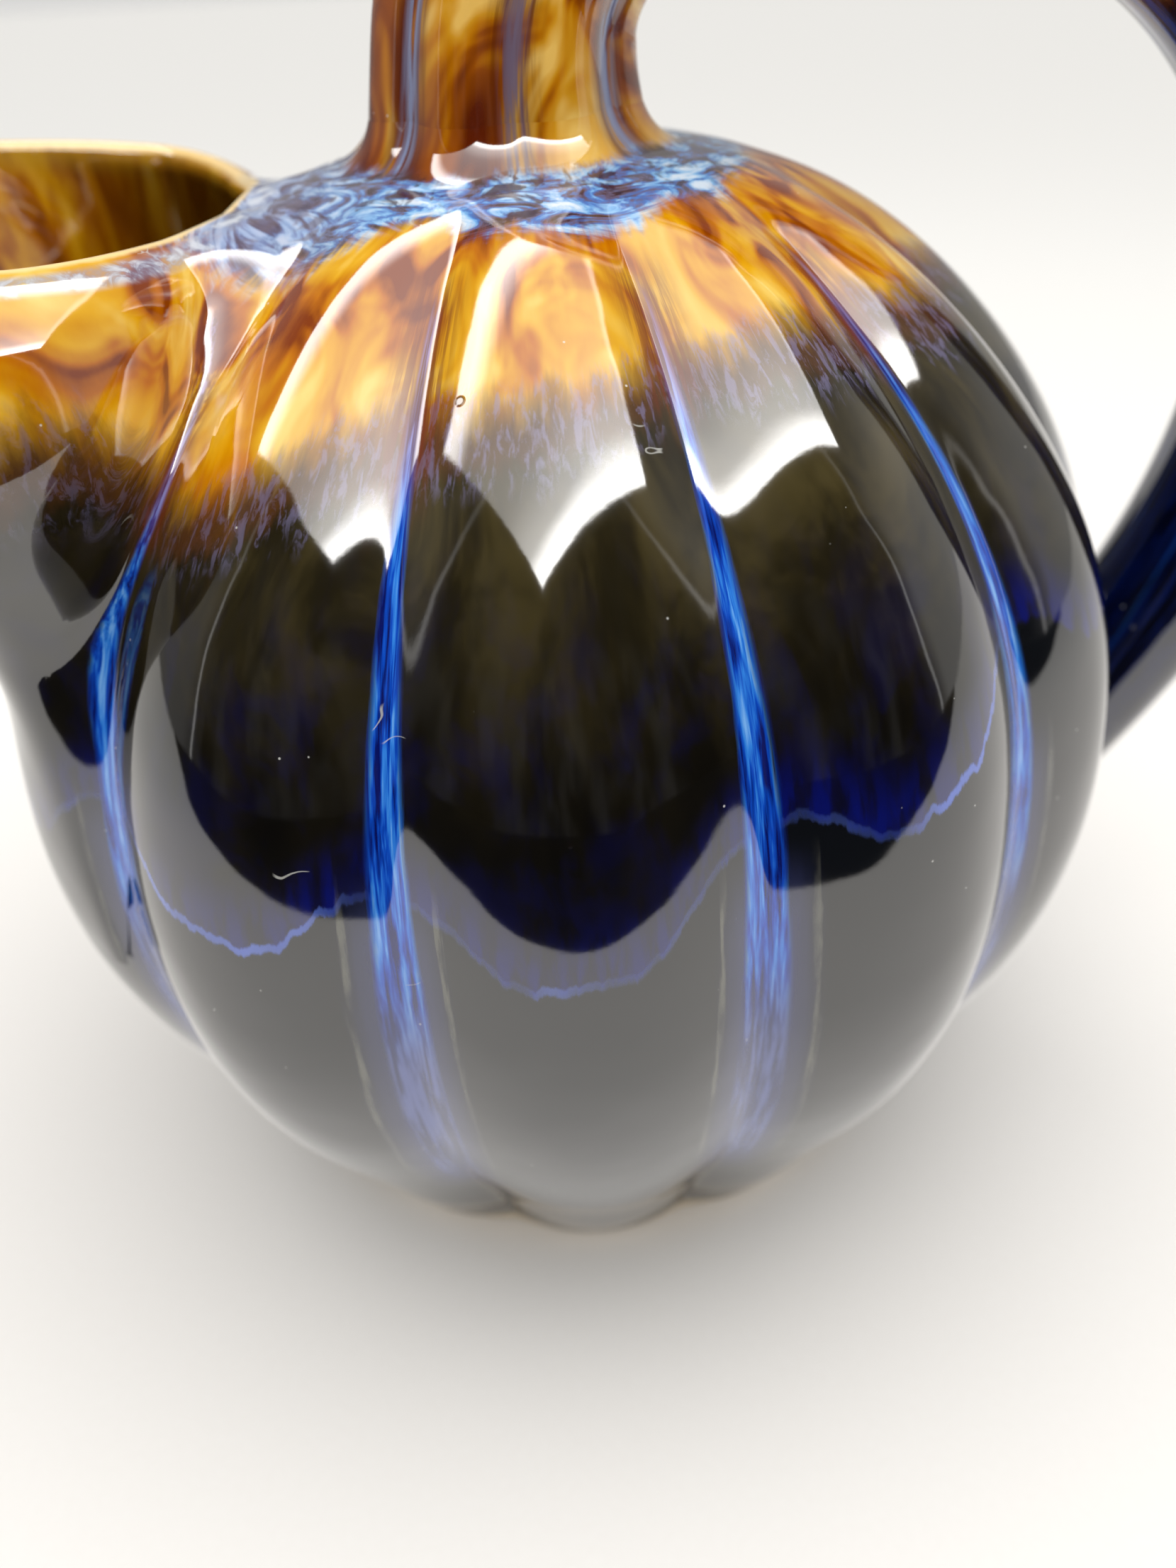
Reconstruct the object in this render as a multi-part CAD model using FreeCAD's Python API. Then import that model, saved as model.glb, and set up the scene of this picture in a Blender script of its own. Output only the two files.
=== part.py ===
"""Ribbed ceramic pumpkin pitcher: body, pouring lip, stem handle and the two clay joints.

Millimetres, +Z up.  The origin is the centre of the base on the table.  +X points at the handle,
-X at the pouring tip, and the pitcher is symmetric about the XZ plane.
"""
import FreeCAD, Part
import math
import os

V = FreeCAD.Vector

# ---- driving dimensions -------------------------------------------------------------------
BODY_RADIUS = 85.0            # over the rib crests at the equator
RIBS = 12                     # a crest points along +X, the creases lie half a rib away
WALL = 4.5                    # clay and glaze together
FLOOR = 6.0
BASE_RADIUS = 54.0
CROWN_RADIUS = 12.0           # flat spot in the middle of the crown, under the stem

EQUATOR_Z = 1.02 * BODY_RADIUS
CROWN_Z = 1.87 * BODY_RADIUS

# crest line of a rib from the base to the crown, as (radius, height)
CREST_LINE = [
    (BASE_RADIUS, 0.0),
    (57.5, 5.0),
    (66.2, 21.0),
    (77.5, 42.0),
    (84.2, 64.0),
    (BODY_RADIUS, EQUATOR_Z),
    (80.6, 108.0),
    (70.3, 127.0),
    (56.0, 142.5),
    (38.7, 153.8),
    (22.0, CROWN_Z - 0.4),
    (CROWN_RADIUS, CROWN_Z),
]

# crease depth as a share of the crest radius, by height
CREASE_DEPTHS = [(0.0, 0.034), (45.0, 0.045), (EQUATOR_Z, 0.057), (140.0, 0.034), (153.0, 0.010), (CROWN_Z, 0.0)]

# mouth: rim section seen from above, and how it shrinks on the way down to the throat
MOUTH_STEM_END_X = -32.0
MOUTH_TIP_X = -115.0
MOUTH_HALF_WIDTH = 51.5       # over the lip's outer wall at the rim
RIM_Z = 153.2                 # at the stem end
RIM_RISE = 0.115              # the rim climbs this much per millimetre towards the tip
RIM_WALL = 4.2

# stem and handle
FLUTES = 8
STEM_FOOT_X = -2.0
STEM_HALF_WIDTH = 18.5        # at the foot, in the XZ plane
HANDLE_RADIUS = 11.5


def interpolate_table(table, x):
    """Straight-line lookup in a table of (x, y) pairs sorted by x."""
    for (x0, y0), (x1, y1) in zip(table, table[1:]):
        if x <= x1:
            return y0 + (y1 - y0) * (x - x0) / (x1 - x0)
    return table[-1][1]


# ---- ribbed solids ------------------------------------------------------------------------
def rib_face(crest_line, depth_scale, middle_angle):
    """One rib as a smooth face between its two creases."""
    half_rib = 180.0 / RIBS
    steps = 10
    rows = []
    for i in range(steps + 1):
        offset = half_rib * (2.0 * i / steps - 1.0)
        angle = math.radians(middle_angle + offset)
        sag = 1.0 - math.cos(math.radians(90.0 * offset / half_rib))
        row = []
        for radius, z in crest_line:
            r = radius * (1.0 - depth_scale * interpolate_table(CREASE_DEPTHS, z) * sag)
            row.append(V(r * math.cos(angle), r * math.sin(angle), z))
        rows.append(row)
    surface = Part.BSplineSurface()
    surface.interpolate(rows)
    return surface.toShape()


def cap_face(faces, z):
    """Flat face that closes the ring of rib edges lying at height z."""
    edges = []
    for face in faces:
        for edge in face.Edges:
            if abs(edge.BoundBox.ZMin - z) < 0.01 and abs(edge.BoundBox.ZMax - z) < 0.01:
                edges.append(edge)
    return Part.Face(Part.Wire(Part.__sortEdges__(edges)))


def ribbed_solid(crest_line, depth_scale=1.0):
    ribs = [rib_face(crest_line, depth_scale, 360.0 * i / RIBS) for i in range(RIBS)]
    caps = [cap_face(ribs, crest_line[0][1]), cap_face(ribs, crest_line[-1][1])]
    shell = Part.makeShell(ribs + caps)
    shell.sewShape()
    solid = Part.makeSolid(Part.Shell(shell.Faces))
    if solid.Volume < 0:
        solid.reverse()
    return solid


def inner_line():
    """Crest line of the cavity, the outer one moved inwards by the wall."""
    line = []
    for (r0, z0), (r, z), (r1, z1) in zip(CREST_LINE, CREST_LINE[1:], CREST_LINE[2:]):
        along = math.hypot(r1 - r0, z1 - z0)
        line.append((r - WALL * (z1 - z0) / along, z + WALL * (r1 - r0) / along))
    line = [(r, z) for r, z in line if z > FLOOR + 8.0]
    foot = (BASE_RADIUS - WALL - 2.0, FLOOR)
    bend = (BASE_RADIUS + 4.0, FLOOR + 5.0)
    crown = (CROWN_RADIUS * 0.6, CROWN_Z - WALL)
    return [foot, bend] + line + [crown]


# ---- mouth --------------------------------------------------------------------------------
def mouth_ring(stem_end, tip, half_width, base_z, rise):
    """Closed egg-shaped section, blunt at the stem and drawn out to the pouring tip."""
    length = stem_end - tip
    shape = [
        (0.0, 0.0),
        (0.055, 0.47),
        (0.16, 0.80),
        (0.34, 1.0),
        (0.55, 0.90),
        (0.76, 0.60),
        (0.92, 0.29),
    ]
    half = [(stem_end - length * along, half_width * across) for along, across in shape]
    outline = half + [(tip, 0.0)] + [(x, -y) for x, y in reversed(half[1:])]
    points = [V(x, y, base_z + rise * (MOUTH_STEM_END_X - x)) for x, y in outline]
    return closed_curve(points)


def closed_curve(points):
    """Smooth closed wire with evenly spaced knots, so that stacked sections match."""
    curve = Part.BSplineCurve()
    count = len(points)
    curve.interpolate(Points=points, PeriodicFlag=True, Parameters=[float(i) for i in range(count + 1)])
    return Part.Wire(curve.toShape())


def mouth_solid(inset, top_extra=0.0):
    """Solid plug of the mouth, from deep in the cavity up to the rim and top_extra past it.

    Its sides swell out below the rim like a rounded shoulder and draw in again further down.
    """
    # (drop below the rim, stem end, tip, half width, rise)
    levels = [
        (50.0, -22.0, -76.0, 42.0, 0.0),
        (36.0, -26.0, -87.0, 52.0, 0.03),
        (22.0, -29.0, -98.0, 59.0, 0.06),
        (10.0, -31.0, -107.0, 58.5, 0.09),
        (4.0, -31.7, -112.0, 55.3, 0.105),
        (0.0, MOUTH_STEM_END_X, MOUTH_TIP_X, MOUTH_HALF_WIDTH, RIM_RISE),
    ]
    if top_extra:
        levels.append((-top_extra, MOUTH_STEM_END_X, MOUTH_TIP_X - top_extra, MOUTH_HALF_WIDTH, RIM_RISE))
    rings = [
        mouth_ring(stem_end - inset, tip + 1.4 * inset, half_width - inset, RIM_Z - drop, rise)
        for drop, stem_end, tip, half_width, rise in levels
    ]
    return Part.makeLoft(rings, True)


# ---- stem handle --------------------------------------------------------------------------
# centre line as (x, z), with half the section's size in the XZ plane and along Y
HANDLE_STATIONS = [
    (STEM_FOOT_X, 150.0, STEM_HALF_WIDTH, 21.5),
    (STEM_FOOT_X - 0.5, 160.0, STEM_HALF_WIDTH, 20.8),
    (STEM_FOOT_X - 0.5, 168.0, 17.6, 19.6),
    (1.5, 177.0, 16.7, 18.0),
    (13.0, 186.5, 15.0, 15.6),
    (36.0, 192.0, 12.8, 13.4),
    (65.0, 188.5, HANDLE_RADIUS, 12.0),
    (92.0, 172.0, HANDLE_RADIUS, HANDLE_RADIUS),
    (107.0, 146.0, HANDLE_RADIUS, HANDLE_RADIUS),
    (107.9, 113.0, HANDLE_RADIUS, HANDLE_RADIUS),
    (99.0, 86.0, HANDLE_RADIUS, HANDLE_RADIUS),
    (88.0, 68.0, HANDLE_RADIUS + 0.3, HANDLE_RADIUS + 0.8),
    (78.0, 56.0, HANDLE_RADIUS + 1.0, HANDLE_RADIUS + 2.0),
]
FLUTE_DEPTH = 0.09            # share of the stem's radius, dying out over the top of the loop
FLUTE_LOSS = 0.011            # per station

# clay fillets: how far each section stands out round the handle, by height above the skin
STEM_JOINT = [(-8.0, 8.0), (-1.5, 4.2), (1.5, 2.0), (5.0, 0.5)]
HANDLE_JOINT = [(-7.0, 6.0), (-1.0, 3.4), (2.0, 1.6), (5.0, 0.5)]
HANDLE_LEAVES_RIB = (84.0, 63.5)    # where the centre line comes out of the back rib, as (x, z)


def fluted_section(x, z, along, half_across, half_deep, flute_depth):
    """Closed section square to the direction along, which lies in the XZ plane."""
    across = V(along.z, 0.0, -along.x)
    samples = 4 * FLUTES
    points = []
    for i in range(samples):
        angle = 2.0 * math.pi * i / samples
        size = 1.0 - flute_depth * (0.5 - 0.5 * math.cos(FLUTES * angle))
        a = half_across * size * math.cos(angle)
        b = half_deep * size * math.sin(angle)
        points.append(V(x, 0.0, z) + across * a + V(0.0, b, 0.0))
    return closed_curve(points)


def direction(start, end):
    return V(end[0] - start[0], 0.0, end[1] - start[1]).normalize()


def handle_solid():
    last = len(HANDLE_STATIONS) - 1
    sections = []
    for i, (x, z, half_across, half_deep) in enumerate(HANDLE_STATIONS):
        along = direction(HANDLE_STATIONS[max(i - 1, 0)], HANDLE_STATIONS[min(i + 1, last)])
        flute_depth = max(0.0, FLUTE_DEPTH - FLUTE_LOSS * i)
        sections.append(fluted_section(x, z, along, half_across, half_deep, flute_depth))
    return Part.makeLoft(sections, True)


def stem_joint_plug():
    """Flared plug round the foot of the stem; the crown and the stem are cut out of it later."""
    x, z, half_across, half_deep = HANDLE_STATIONS[1]
    sections = []
    for height, stand_out in STEM_JOINT:
        size = (half_across + stand_out, half_deep + stand_out)
        sections.append(fluted_section(x, z + height, V(0.0, 0.0, 1.0), size[0], size[1], 0.0))
    return Part.makeLoft(sections, True)


def handle_joint_plug():
    """Flared plug round the handle's lower end, its sections parallel to the back rib's skin."""
    x, z = HANDLE_LEAVES_RIB
    half_across, half_deep = HANDLE_STATIONS[-2][2:]
    axis = direction(HANDLE_STATIONS[-1], HANDLE_STATIONS[-2])
    slope = direction(CREST_LINE[3], CREST_LINE[4])
    outward = V(slope.z, 0.0, -slope.x)
    lean = axis.dot(outward)
    sections = []
    for height, stand_out in HANDLE_JOINT:
        shift = height / lean
        size = (half_across / lean + stand_out, half_deep + stand_out)
        sections.append(fluted_section(x + shift * axis.x, z + shift * axis.z, outward, size[0], size[1], 0.0))
    return Part.makeLoft(sections, True)


# ---- assembly -----------------------------------------------------------------------------
def largest_solid(shape):
    """The cut piece itself, without slivers."""
    return max(shape.Solids, key=lambda solid: solid.Volume)


def build_parts():
    outside = ribbed_solid(CREST_LINE)
    cavity = ribbed_solid(inner_line(), 0.7)
    mouth = mouth_solid(0.0)
    throat = mouth_solid(RIM_WALL, top_extra=4.0)

    handle = handle_solid().cut(outside)
    stem_joint = stem_joint_plug().cut(outside).cut(handle)
    handle_joint = handle_joint_plug().cut(outside).cut(handle)

    return {
        "body_shell": largest_solid(outside.cut(cavity).cut(mouth)),
        "pouring_lip": largest_solid(mouth.cut(throat).cut(cavity)),
        "stem_handle": largest_solid(handle),
        "stem_joint_slip": largest_solid(stem_joint),
        "handle_joint_slip": largest_solid(handle_joint),
    }


def main():
    os.makedirs("parts", exist_ok=True)
    for name, shape in build_parts().items():
        shape.exportStep("parts/" + name + ".step")
        print(name, "volume", round(shape.Volume), "valid", shape.isValid(), "solids", len(shape.Solids))


main()
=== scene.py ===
"""Looks of the ribbed pumpkin pitcher: glazed body, pouring lip, stem handle and clay joints."""

import math

import bpy
import numpy as np
from mathutils import Matrix, Vector


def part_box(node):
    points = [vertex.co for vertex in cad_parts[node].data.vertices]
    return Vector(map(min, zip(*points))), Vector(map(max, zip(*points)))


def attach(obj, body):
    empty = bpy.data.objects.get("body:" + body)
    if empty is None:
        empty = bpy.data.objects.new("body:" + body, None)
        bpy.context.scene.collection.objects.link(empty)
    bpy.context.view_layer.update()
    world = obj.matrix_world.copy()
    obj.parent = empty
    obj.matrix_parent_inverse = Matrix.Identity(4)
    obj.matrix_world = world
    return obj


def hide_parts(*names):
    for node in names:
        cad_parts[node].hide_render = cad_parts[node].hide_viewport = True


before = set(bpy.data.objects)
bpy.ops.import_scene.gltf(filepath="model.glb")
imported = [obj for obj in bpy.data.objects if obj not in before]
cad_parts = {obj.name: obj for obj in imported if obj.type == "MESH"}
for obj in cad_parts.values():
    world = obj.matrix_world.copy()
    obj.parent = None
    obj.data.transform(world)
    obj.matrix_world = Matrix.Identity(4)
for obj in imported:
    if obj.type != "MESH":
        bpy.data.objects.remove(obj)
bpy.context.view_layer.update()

# ---- scale ----
# Shapes are worked out in millimetres of a pitcher whose ribs stand 85.25 mm from the axis,
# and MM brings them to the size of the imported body.
DESIGN_RADIUS = 85.25
body_low, body_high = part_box("body_shell")
MM = (body_high[0] - body_low[0]) / 2.0 / DESIGN_RADIUS

# ---- body ----
RIBS = 12
EQUATOR = 87.0
CENTRE = np.array([0.0, 0.0, EQUATOR])
WALL = 4.5
FLOOR = 6.0
# crest of a rib, as (radius, height)
CREST_LINE = [
    (54.0, 0.0), (57.5, 5.0), (66.2, 21.0), (77.5, 42.0), (84.2, 64.0), (85.0, 86.7),
    (80.6, 108.0), (70.3, 127.0), (56.0, 142.5), (38.7, 153.8), (19.4, 159.2), (0.0, 159.6),
]
# crease depth as a share of the radius, by elevation in degrees
CREASE_DEPTHS = [
    (-60, 0.033), (-30, 0.046), (0, 0.057), (35, 0.047), (52, 0.036), (61, 0.018), (68, 0.0), (90, 0.0),
]
CREASE_SOFTNESS = 0.10
INNER_RELIEF = 0.7  # how strong the ribs are on the inside, as a share of the outside
HAND_MADE = 0.0016  # unevenness of the body, as a share of its radius
FOOT_ELEVATION = -54.5
# underside: foot edge, bare clay ring and shallow recess, as (radius, height)
UNDERSIDE = [
    (56.6, 3.2), (55.3, 1.4), (53.4, 0.35), (51.0, 0.0), (47.0, 0.0), (45.0, 0.35), (43.0, 1.2),
    (40.0, 1.5), (28.0, 1.5), (14.0, 1.5), (0.05, 1.5),
]

# ---- mouth ----
MOUTH_X = -62.0  # where the mouth is widest
MOUTH_HALF_WIDTH = 47.0
MOUTH_TO_STEM = 25.6
MOUTH_TO_TIP = 49.0
MOUTH_SQUARENESS = 1.35  # exponent across the mouth; two is an ellipse, less draws the ends out
MOUTH_SOFTNESS = 4.0  # rounding of the outline where it crosses the middle
RIM_Z = 153.6
RIM_X = -35.0
RIM_RISE = 0.115
LIP_WALL = 4.6
LIP_ROUND = 1.9
LIP_SWELL = 12.0  # how far the lip's sides stand out below the rim
SWELL_DEPTH = 9.0
SWELL_ENDS = (44.0, 12.0)  # depths below the rim between which the swell dies out
SWELL_AT_STEM = 0.25
COLLAR_EDGE = 7.0  # size of the collar's rounded top edge
# how far the tip draws back under the lip, by depth below the rim
TIP_DRAWBACK = [(-20, -9.0), (0, 0.0), (10, 8.0), (20, 16.0), (35, 27.0), (55, 38.0), (80, 46.0)]

# ---- stem and handle ----
FLUTES = 8
FLUTE_DEPTH = 0.105
FLUTE_START = math.radians(4.0)
FLUTE_FADE = 0.85  # share of its depth that a flute loses along the handle
SHALLOW_FLUTES = math.radians(274.0)  # turn at which the flutes are shallowest
GROOVE_SOFTNESS = 0.1414
# centre line (x, z) with half the section in the plane of the loop and across it
HANDLE_STATIONS = [
    (-2.8, 150.0, 19.6, 21.5),
    (-2.8, 160.0, 18.8, 20.8),
    (-2.6, 168.0, 17.4, 19.6),
    (-1.0, 176.0, 16.6, 18.0),
    (8.0, 187.0, 15.0, 15.6),
    (32.0, 192.6, 12.8, 13.4),
    (65.0, 188.5, 11.5, 12.0),
    (92.0, 172.0, 11.5, 11.5),
    (107.0, 146.0, 11.5, 11.5),
    (107.9, 113.0, 11.5, 11.5),
    (99.0, 86.0, 11.5, 11.5),
    (88.0, 68.0, 11.8, 12.3),
    (78.0, 56.0, 12.5, 13.5),
]

# ---- looks ----
GLAZE_IOR = 2.0
GLAZE_ROUGHNESS = 0.055
BUMP_HEIGHT = 0.00022  # metres
SKY = 0.76  # plain light from all round
BACKDROP = 0.70
FLOOR_HALF_SIZE = 8.0
PAPER_EDGE_Y = -0.290  # where the paper ends in front, as the glaze mirrors it
# painted reflection: the paper glows to glossy rays alone, so the glaze mirrors it brighter than the eye
# sees it
FLOOR_IN_GLAZE = 0.02  # how much brighter the paper is in the glaze than to the eye
FOOT_GLOW = 0.45  # the same close round the foot
# glowing ceiling, metres: front, right, back and left corner seen from above
PANEL_HEIGHT = 0.62
PANEL_CORNERS = [(-0.10, -0.50), (0.51, -0.12), (0.10, 0.40), (-0.56, 0.02)]
PANEL_VEIL = 1.35  # how bright the glaze mirrors the sheet
PANEL_STRIP = 9.0  # how much brighter it mirrors the strips
PANEL_LIGHT = 2.9  # what the panel gives as plain light


# ---- curves and fields ----
BISECTIONS = 30


def spline(xs, ys):
    """Natural cubic spline through the points (xs, ys), as a function of an array."""
    xs = np.asarray(xs, float)
    ys = np.asarray(ys, float)
    gaps = np.diff(xs)
    count = len(xs)
    matrix = np.eye(count)
    right = np.zeros_like(ys)
    for i in range(1, count - 1):
        matrix[i, i - 1:i + 2] = gaps[i - 1], 2.0 * (gaps[i - 1] + gaps[i]), gaps[i]
        right[i] = 6.0 * ((ys[i + 1] - ys[i]) / gaps[i] - (ys[i] - ys[i - 1]) / gaps[i - 1])
    bend = np.linalg.solve(matrix, right)

    def at(x):
        x = np.clip(np.asarray(x, float), xs[0], xs[-1])
        i = np.clip(np.searchsorted(xs, x) - 1, 0, count - 2)
        gap = gaps[i]
        left, past = xs[i + 1] - x, x - xs[i]
        if ys.ndim > 1:
            gap, left, past = gap[..., None], left[..., None], past[..., None]
        line = (ys[i] * left + ys[i + 1] * past) / gap
        cubic = bend[i] * (left ** 3 / gap - gap * left) + bend[i + 1] * (past ** 3 / gap - gap * past)
        return line + cubic / 6.0

    return at


def smoothstep(low, high, x):
    t = np.clip((x - low) / (high - low), 0.0, 1.0)
    return t * t * (3.0 - 2.0 * t)


def smooth_min(a, b, reach):
    """Minimum of two fields with the corner between them filled over the given reach."""
    h = np.clip(0.5 + 0.5 * (b - a) / reach, 0.0, 1.0)
    return b + (a - b) * h - reach * h * (1.0 - h)


def smooth_max(a, b, reach):
    return -smooth_min(-a, -b, reach)


def ring_point(radius, turn, height):
    """Point at a radius and a turn round the axis, and at a height."""
    return np.stack(np.broadcast_arrays(radius * np.cos(turn), radius * np.sin(turn), height), axis=-1)


def polar(points):
    """Azimuth from +X, elevation in degrees and distance, all seen from the centre of the body."""
    offset = points - CENTRE
    distance = np.linalg.norm(offset, axis=-1)
    elevation = np.degrees(np.arcsin(np.clip(offset[..., 2] / np.maximum(distance, 1e-9), -1.0, 1.0)))
    return np.arctan2(offset[..., 1], offset[..., 0]), elevation, distance


crest_radius, crest_height = np.array(CREST_LINE).T - [[0.0], [EQUATOR]]
crest_elevation = np.degrees(np.arctan2(crest_height, crest_radius))
crest_distance = spline(crest_elevation, np.hypot(crest_radius, crest_height))
crease_depth = spline(*np.array(CREASE_DEPTHS, float).T)
tip_drawback = spline(*np.array(TIP_DRAWBACK, float).T)


def rounded(wave, softness):
    """Wave from zero to one with its sharp low point rounded off."""
    soft = np.sqrt(wave * wave + softness ** 2) - softness
    return soft / (math.sqrt(1.0 + softness ** 2) - softness)


def crease_wave(azimuth):
    """Zero in the middle of a crease, one on the crest of a rib."""
    return rounded(np.abs(np.cos(0.5 * RIBS * azimuth)), CREASE_SOFTNESS)


def body_distance(azimuth, elevation, relief=1.0):
    """Distance of the ribbed skin from the centre; relief below one gives softer ribs."""
    depth = np.maximum(crease_depth(elevation), 0.0) * relief
    uneven = 1.0 + HAND_MADE * np.sin(3.0 * azimuth + 0.8) * np.cos(np.radians(elevation) * 2.0)
    return crest_distance(elevation) * uneven * (1.0 - depth * (1.0 - crease_wave(azimuth)))


def body_field(points):
    """Distance outside the ribbed skin, negative inside it."""
    azimuth, elevation, distance = polar(points)
    return distance - body_distance(azimuth, elevation)


def rim_depth(points):
    """Depth below the sloping plane of the rim."""
    return RIM_Z + RIM_RISE * (RIM_X - points[..., 0]) - points[..., 2]


def mouth_plan_field(points, grow, swell=0.0):
    """Distance outside the mouth's wall, moved out by grow and on its sides by swell as well."""
    depth = rim_depth(points)
    along = points[..., 0] - MOUTH_X
    to_tip = np.maximum(MOUTH_TO_TIP + grow - tip_drawback(depth), 6.0)
    reach = np.where(along > 0.0, MOUTH_TO_STEM + grow + SWELL_AT_STEM * swell, to_tip)
    width = MOUTH_HALF_WIDTH + grow + swell
    across = np.hypot(points[..., 1], MOUTH_SOFTNESS)
    level = (along / reach) ** 2 + (across / width) ** MOUTH_SQUARENESS - 1.0
    slope = np.hypot(
        2.0 * along / reach ** 2,
        MOUTH_SQUARENESS * across ** (MOUTH_SQUARENESS - 2.0) * points[..., 1] / width ** MOUTH_SQUARENESS,
    )
    return level / np.maximum(slope, 0.02)


def collar_field(points):
    """Distance outside the collar: its wall swells out below the rim, and its top edge is round."""
    depth = rim_depth(points)
    fade = smoothstep(*SWELL_ENDS, depth)
    swell = LIP_SWELL * (1.0 - np.exp(-np.maximum(depth, 0.0) / SWELL_DEPTH)) * fade
    wall = mouth_plan_field(points, LIP_WALL, swell)
    return smooth_max(wall, -depth, COLLAR_EDGE)


def blend_reach(points):
    """Size of the soft corner between body and collar, wider where the rim runs on to the crown."""
    return 5.0 + 1.5 * smoothstep(146.0, 153.0, points[..., 2])


def outside_field(points):
    """Negative inside the clay and the cavity together; body and collar flow into each other."""
    return smooth_min(body_field(points), collar_field(points), blend_reach(points))


def past_blend(points):
    """How far a point of the body's skin lies beyond the soft corner with the collar."""
    return collar_field(points) - blend_reach(points)


def gradient(field, points, step=0.05):
    result = np.empty_like(points)
    for axis in range(3):
        nudge = np.zeros(3)
        nudge[axis] = step
        result[..., axis] = field(points + nudge) - field(points - nudge)
    return result / (2.0 * step)


def unit(vectors):
    return vectors / np.maximum(np.linalg.norm(vectors, axis=-1, keepdims=True), 1e-12)


def settle(field, points, rounds=4):
    """Moves points onto the surface where the field is zero."""
    for _ in range(rounds):
        slope = gradient(field, points)
        size = np.maximum(np.sum(slope * slope, axis=-1), 0.05)
        points = points - slope * (field(points) / size)[..., None]
    return points


def bisect(test, low, high):
    """Where the test turns from true, as it is at low, to false, as it is at high."""
    for _ in range(BISECTIONS):
        middle = 0.5 * (low + high)
        passed = test(middle)
        low = np.where(passed, middle, low)
        high = np.where(passed, high, middle)
    return 0.5 * (low + high)


# ---- meshes ----
def tube_faces(rows, columns):
    """Quads of a tube with the given number of rings and of points in a ring."""
    ring = np.arange(rows - 1)[:, None] * columns
    column = np.arange(columns)[None, :]
    after = (column + 1) % columns
    corners = [ring + column, ring + after, ring + columns + after, ring + columns + column]
    return np.stack(corners, axis=-1).reshape(-1, 4)


def torus_faces(rows, columns):
    """The same with the last ring joined to the first."""
    return tube_faces(rows + 1, columns) % (rows * columns)


def make_piece(name, points, faces, masks, node, normals=None):
    """Smooth-shaded closed mesh that stands for a CAD node; masks are per-point numbers for the glaze."""
    flat = np.array([corner for face in faces for corner in face])
    used = np.zeros(len(points), bool)
    used[flat] = True
    number = np.cumsum(used) - 1
    mesh = bpy.data.meshes.new(name)
    mesh.from_pydata((points[used] * MM).tolist(), [], [number[list(face)].tolist() for face in faces])
    mesh.polygons.foreach_set("use_smooth", [True] * len(mesh.polygons))
    mesh.update()
    for key, values in masks.items():
        kind, field = ("FLOAT_VECTOR", "vector") if values.ndim == 2 else ("FLOAT", "value")
        layer = mesh.attributes.new(key, kind, "POINT")
        layer.data.foreach_set(field, values[used].astype(np.float32).ravel())
    if normals is not None:
        mesh.normals_split_custom_set_from_vertices(unit(normals[used]).tolist())
    piece = bpy.data.objects.new(name, mesh)
    bpy.context.collection.objects.link(piece)
    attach(piece, "root")
    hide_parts(node)
    return piece


# ---- body ----
COLUMNS = RIBS * 36
ROWS_UP = 176
CREASE_CROWDING = 0.5  # how much closer the columns stand in a crease
NEAR_POLE = 89.9  # elevation of the last row, which a flat cap closes
FLOOR_CORNER = 9.0  # rounding of the cavity where it meets the floor
HOLE_INSET = 2.3  # how far inside the lip's outer wall the hole in the body ends
HOLE_LOW = 100.0  # height that the hole in the body stays above
LIP_LOW = 80.0  # height that the lip stays above
SEAM_SINK = 0.5  # how deep the hidden edges of lip and body dive below each other


def column_azimuths():
    even = np.linspace(0.0, 2.0 * math.pi, COLUMNS, endpoint=False)
    return even + CREASE_CROWDING / RIBS * np.sin(RIBS * even)


def skin_point(azimuth, elevation, distance):
    level = np.radians(elevation)
    return CENTRE + ring_point(np.cos(level), azimuth, np.sin(level)) * distance[..., None]


def inner_distance(azimuth, elevation):
    """Cavity: the skin moved in by the wall, with softer ribs and a flat floor."""
    floor = (EQUATOR - FLOOR) / np.maximum(np.sin(np.radians(-elevation)), 0.05)
    wall = body_distance(azimuth, elevation, INNER_RELIEF) - WALL
    return smooth_min(wall, floor, FLOOR_CORNER)


def cavity_field(points):
    azimuth, elevation, distance = polar(points)
    return distance - inner_distance(azimuth, elevation)


def body_outer_rows(azimuth):
    """Rows from the middle of the underside, round the foot and up the skin to the crown."""
    under = []
    foot_relief = 1.0 - crease_depth(FOOT_ELEVATION) * (1.0 - crease_wave(azimuth))
    for radius, z in reversed(UNDERSIDE):
        ribbed = 1.0 + (foot_relief - 1.0) * smoothstep(42.0, 55.0, radius)
        under.append(ring_point(radius * ribbed, azimuth, z))
    elevation = np.linspace(FOOT_ELEVATION, NEAR_POLE, ROWS_UP)[:, None] + 0.0 * azimuth
    return np.array(under), skin_point(azimuth, elevation, body_distance(azimuth, elevation))


def boundary_strip(faces, offset):
    """Quads that join the open edges of one skin to the same edges of the other, offset points on."""
    edges = np.concatenate([faces[:, [i, (i + 1) % 4]] for i in range(4)])
    keys = set(map(tuple, edges.tolist()))
    return [[b, a, a + offset, b + offset] for a, b in keys if (b, a) not in keys]


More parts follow.
